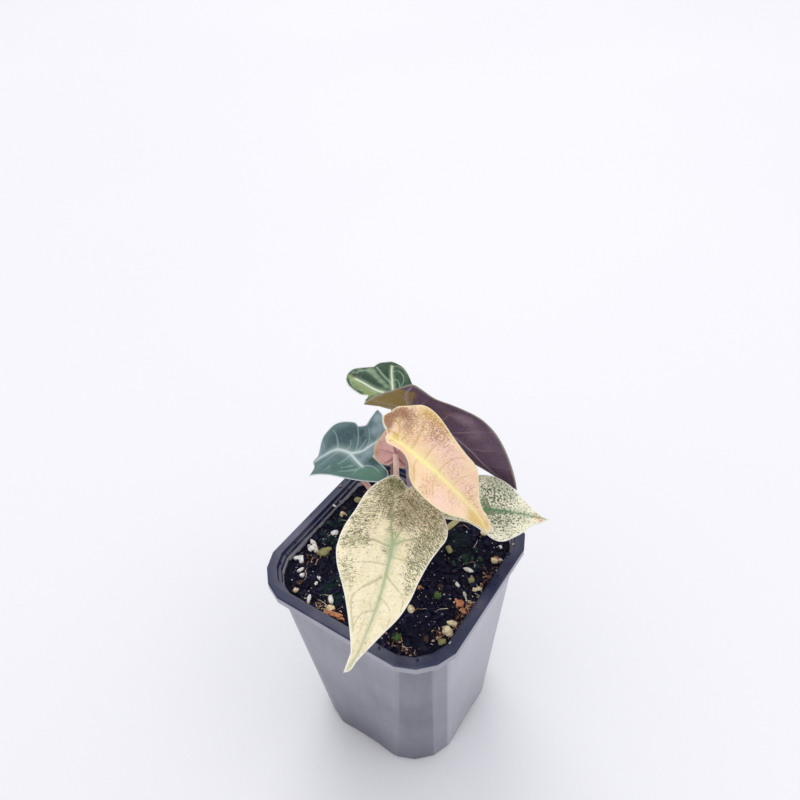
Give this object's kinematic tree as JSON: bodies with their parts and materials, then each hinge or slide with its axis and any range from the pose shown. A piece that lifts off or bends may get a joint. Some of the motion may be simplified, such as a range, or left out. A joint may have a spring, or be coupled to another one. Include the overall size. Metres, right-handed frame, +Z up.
{
  "type": "potted variegated african mask plant",
  "caption": "Young aroid with arrow-shaped variegated leaves on slender stalks, rooted in bark mix in a square tapered nursery pot.",
  "frame": {"origin": "centre of the pot's foot, on the plane it rests on", "axes": "+Z up along the pot's axis; X and Y square to the pot's sides, the front leaf points to -Y"},
  "size_m": [0.0791, 0.0962, 0.1494],
  "materials": {
    "pot": "semi-gloss, slightly dusty",
    "soil": "rough and damp",
    "rootstock": "dull",
    "stalk": "smooth and waxy",
    "blade_front_cream": "satin leaf surface",
    "blade_center_pink": "satin leaf surface",
    "blade_rear_purple": "satin leaf surface",
    "blade_left_silver": "satin leaf surface",
    "blade_back_green": "satin leaf surface",
    "blade_right_speckled": "satin leaf surface",
    "blade_young_pink": "satin leaf surface"
  },
  "bodies": {
    "root": {"pot": "pot", "soil": "soil", "rootstock": "rootstock", "stalk_front_cream": "stalk", "blade_front_cream": "blade_front_cream", "stalk_center_pink": "stalk", "blade_center_pink": "blade_center_pink", "stalk_rear_purple": "stalk", "blade_rear_purple": "blade_rear_purple", "stalk_left_silver": "stalk", "blade_left_silver": "blade_left_silver", "stalk_back_green": "stalk", "blade_back_green": "blade_back_green", "stalk_right_speckled": "stalk", "blade_right_speckled": "blade_right_speckled", "stalk_young_pink": "stalk", "blade_young_pink": "blade_young_pink"}
  },
  "joints": []
}
